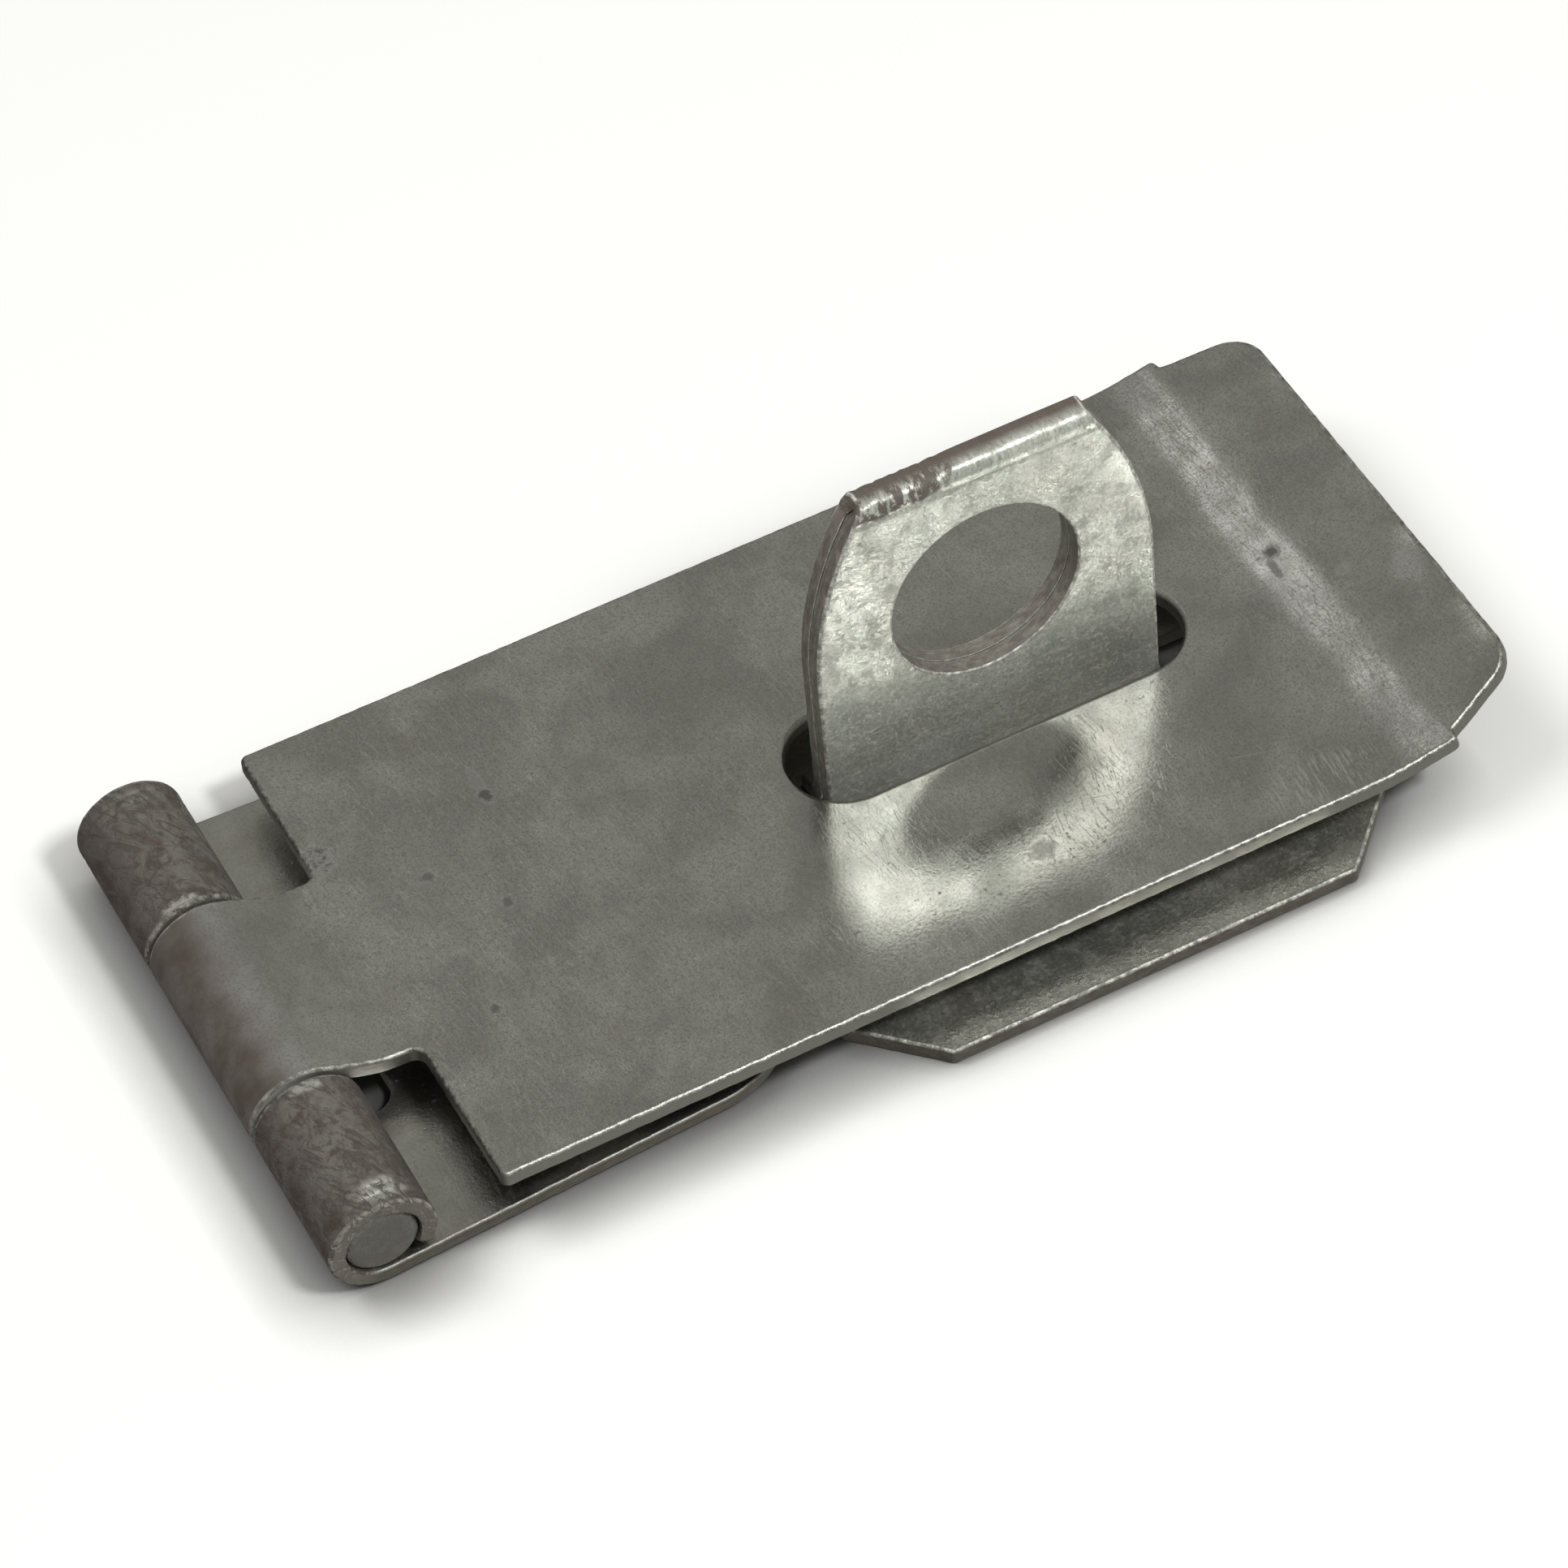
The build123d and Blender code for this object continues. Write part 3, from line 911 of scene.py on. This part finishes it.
def staple_marks(look):
    """Freckles and chalky plating on the eye, painted shade about its roots, a back to the fold
    browned dark as painted shade, torn metal on the fold's left part, and swirling strokes low on the
    left."""
    along = look.axis("X")
    from_fold = look.calc("ABSOLUTE", look.calc("SUBTRACT", along, staple_middle_s))
    on_eye = look.ramp(from_fold, eye_run + 0.5, eye_run + 2.5, 1.0, 0.0)
    # painted shade about the eye's roots and the flanges next to them, which the strap hides
    root_painted_shade = look.ramp(from_fold, eye_run + 0.8, eye_run + 2.5)
    root_painted_shade = look.calc("MULTIPLY", root_painted_shade, look.ramp(from_fold, eye_run + 4.0, eye_run + 8.0, 1.0, 0.0))
    freckles = look.noise(1.5, 5.0, look.placed(shift=(3, 5, 2)), 0.4, 0.75)
    freckles = look.calc("MULTIPLY", look.ramp(freckles, 0.56, 0.74, 0.0, 0.7), on_eye)
    dull_patches = look.noise(0.8, 5.0, look.placed(shift=(1, 9, 4)), rough=0.75)
    dull_patches = look.ramp(dull_patches, 0.46, 0.64, 0.0, 0.36)
    pits_and_shade = look.most([freckles, look.calc("MULTIPLY", root_painted_shade, 0.95), dull_patches])

    on_fold = look.patch(staple_middle_s, 5.2, 1.15, 5.4, 0.5, 1.1, 0.7)
    torn = look.calc("MULTIPLY", on_fold, look.ramp(look.noise(1.7, 4.0, rough=0.75), 0.42, 0.54))
    # painted shade: the back of the fold is browned dark
    fold_back_painted_shade = look.ramp(along, staple_middle_s - 0.5, staple_middle_s + 0.1)
    fold_back_painted_shade = look.calc("MULTIPLY", fold_back_painted_shade, look.ramp(from_fold, 0.7, 3.4, 0.95, 0.0))
    stains_and_shade = look.calc("ADD", look.ramp(look.noise(0.3, 3.0), 0.45, 0.75, 0.0, 0.12),
                      look.ramp(on_eye, 0.0, 1.0, 0.38, 0.0))
    swirl = look.calc("ABSOLUTE", look.calc("SUBTRACT", look.noise(0.5, 2.0, distortion=2.2), 0.5))
    low_left = look.patch(eye_s(7.0), 5.5, 4.6, 5.0, 0.3, 1.2, 0.5)
    strokes = look.calc("MULTIPLY", look.ramp(swirl, 0.004, 0.016, 0.8, 0.0), low_left)
    return {"pits_and_shade": pits_and_shade, "stains_and_shade": look.calc("MAXIMUM", stains_and_shade, fold_back_painted_shade), "strokes": strokes,
            "torn": torn, "chalky": on_eye}


strap_zinc = zinc(
    "strap_zinc_plate", dull=(0.40, 0.40, 0.38), pale=(0.54, 0.54, 0.515), worn=(0.66, 0.66, 0.61),
    wall=(0.40, 0.39, 0.36), roughness=0.15, crystal=(7.0, 0.12), grain=(9.0, 0.85),
    bump=(0.5, 0.12, 1.0), marks=strap_marks)
leaf_zinc = zinc(
    "leaf_zinc_plate", dull=(0.37, 0.365, 0.34), pale=(0.47, 0.465, 0.435), worn=(0.50, 0.49, 0.44),
    wall=(0.22, 0.20, 0.18), roughness=0.33, crystal=(3.0, 0.15),
    bump=(2.2, 0.8, 3.2), marks=leaf_marks)
pin_steel = zinc(
    "pin_cropped_steel", dull=(0.30, 0.285, 0.27), pale=(0.38, 0.365, 0.35), worn=(0.6, 0.58, 0.54),
    wall=(0.2, 0.18, 0.16), roughness=0.42, crystal=(4.0, 0.1),
    bump=(1.6, 0.4, 2.0), marks=pin_marks)
staple_zinc = zinc(
    "staple_zinc_plate", dull=(0.46, 0.49, 0.43), pale=(0.66, 0.68, 0.61), worn=(0.88, 0.88, 0.81),
    wall=(0.17, 0.15, 0.13), roughness=0.17, crystal=(5.5, 0.5), grain=(6.5, 0.85),
    bump=(3.2, 2.4, 2.5), marks=staple_marks)

for piece, node, body, material, slot in (
    (strap, "hasp_strap", "strap", strap_zinc, "strap_zinc"),
    (leaf, "base_leaf", "leaf", leaf_zinc, "leaf_zinc"),
    (pin, "hinge_pin", "leaf", pin_steel, "pin_steel"),
    (staple, "staple", "staple", staple_zinc, "staple_zinc"),
):
    piece.data.materials.append(material)
    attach(piece, body)
    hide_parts(node)

# ------------------------------------------------------------------ floor, in metres
floor_half = 2.0
floor_z = -0.05 * MM
floor_white = rgb(0.86, 0.86, 0.85)
painted_contact_shadow = rgb(0.02, 0.02, 0.02)
floor_mesh = bpy.data.meshes.new("floor")
floor_corners = [(x * floor_half, y * floor_half, floor_z)
                 for x, y in ((-1, -1), (1, -1), (1, 1), (-1, 1))]
floor_mesh.from_pydata(floor_corners, [], [(0, 1, 2, 3)])
floor = bpy.data.objects.new("floor", floor_mesh)
bpy.context.scene.collection.objects.link(floor)

# the floor is pale, with painted shadow: its colour darkens where the part nearly touches it
floor_look = bpy.data.materials.new("pale_floor")
floor_look.use_nodes = True
floor_tree = floor_look.node_tree
floor_shader = floor_tree.nodes["Principled BSDF"]
floor_shader.inputs["Roughness"].default_value = 0.9
openness = floor_tree.nodes.new("ShaderNodeAmbientOcclusion")
openness.inputs["Distance"].default_value = 5 * MM
steeper = floor_tree.nodes.new("ShaderNodeMath")
steeper.operation = "POWER"
steeper.inputs[1].default_value = 1.8
floor_mix = floor_tree.nodes.new("ShaderNodeMix")
floor_mix.data_type = "RGBA"
floor_mix.inputs["A"].default_value = painted_contact_shadow
floor_mix.inputs["B"].default_value = floor_white
floor_tree.links.new(openness.outputs["AO"], steeper.inputs[0])
floor_tree.links.new(steeper.outputs[0], floor_mix.inputs["Factor"])
floor_tree.links.new(floor_mix.outputs["Result"], floor_shader.inputs["Base Color"])
floor_mesh.materials.append(floor_look)
floor.visible_glossy = False

# ------------------------------------------------------------------ studio walls
# one side of the studio is bright and the other is dim
world = bpy.context.scene.world or bpy.data.worlds.new("studio")
bpy.context.scene.world = world
world.use_nodes = True
studio = world.node_tree
seen = studio.nodes.new("ShaderNodeTexCoord")
towards_bright = studio.nodes.new("ShaderNodeVectorMath")
towards_bright.operation = "DOT_PRODUCT"
towards_bright.inputs[1].default_value = Vector((0.5, -0.3, 0.35)) / 2
halfway = studio.nodes.new("ShaderNodeMath")
halfway.operation = "ADD"
halfway.inputs[1].default_value = 0.5
walls = studio.nodes.new("ShaderNodeValToRGB")
dim_end, bright_end = walls.color_ramp.elements
dim_end.position, dim_end.color = 0.22, rgb(0.11, 0.10, 0.095)
bright_end.position, bright_end.color = 0.47, rgb(0.355, 0.353, 0.325)
studio.links.new(seen.outputs["Generated"], towards_bright.inputs[0])
studio.links.new(towards_bright.outputs["Value"], halfway.inputs[0])
studio.links.new(halfway.outputs[0], walls.inputs["Fac"])
studio.links.new(walls.outputs["Color"], studio.nodes["Background"].inputs["Color"])


# ------------------------------------------------------------------ lights and camera, in metres
def soft_light(name, lit, towards, distance, size, power):
    """A square area light, so far from the point that it lights, in one direction from it."""
    data = bpy.data.lights.new(name, "AREA")
    data.energy = power
    data.size = size
    light = bpy.data.objects.new(name, data)
    direction = Vector(towards).normalized()
    light.location = lit + direction * distance
    light.rotation_euler = direction.to_track_quat("Z", "Y").to_euler()
    bpy.context.scene.collection.objects.link(light)
    return light


view_centre = Vector((16.726, -0.295, 4.4)) * MM
eye_place = Vector((0.028, 0, 0.018))
ramp_place = Vector((0.048, 0, 0.005))
soft_light("eye_light", eye_place, (0.24, -0.487, 0.84), distance=0.42, size=0.07, power=1.1)
soft_light("bend_glow", ramp_place, (0.03, 0.577, 0.816), distance=0.9, size=0.08, power=0.022)
floor_light = soft_light(
    "floor_light", view_centre, (-0.45, 0.45, 0.77), distance=0.9, size=0.5, power=4.6)
floor_light.visible_glossy = False

azimuth = math.radians(-24.325)
elevation = math.radians(49.702)
roll = math.radians(-4.6)
camera_distance = 340.05 * MM
ahead = Vector((-math.sin(azimuth) * math.cos(elevation),
                math.cos(azimuth) * math.cos(elevation),
                -math.sin(elevation)))
level = ahead.cross(Vector((0, 0, 1))).normalized()
right = level * math.cos(roll) + level.cross(ahead) * math.sin(roll)
up = right.cross(ahead)
camera_data = bpy.data.cameras.new("camera")
camera_data.lens = 139.96
camera_data.sensor_width = 36.0
camera_data.clip_start = 0.01
camera = bpy.data.objects.new("camera", camera_data)
turned_to = Matrix((right, up, -ahead)).transposed().to_4x4()
camera.matrix_world = Matrix.Translation(view_centre - ahead * camera_distance) @ turned_to
bpy.context.scene.collection.objects.link(camera)
bpy.context.scene.camera = camera
bpy.context.scene.view_settings.view_transform = "Standard"
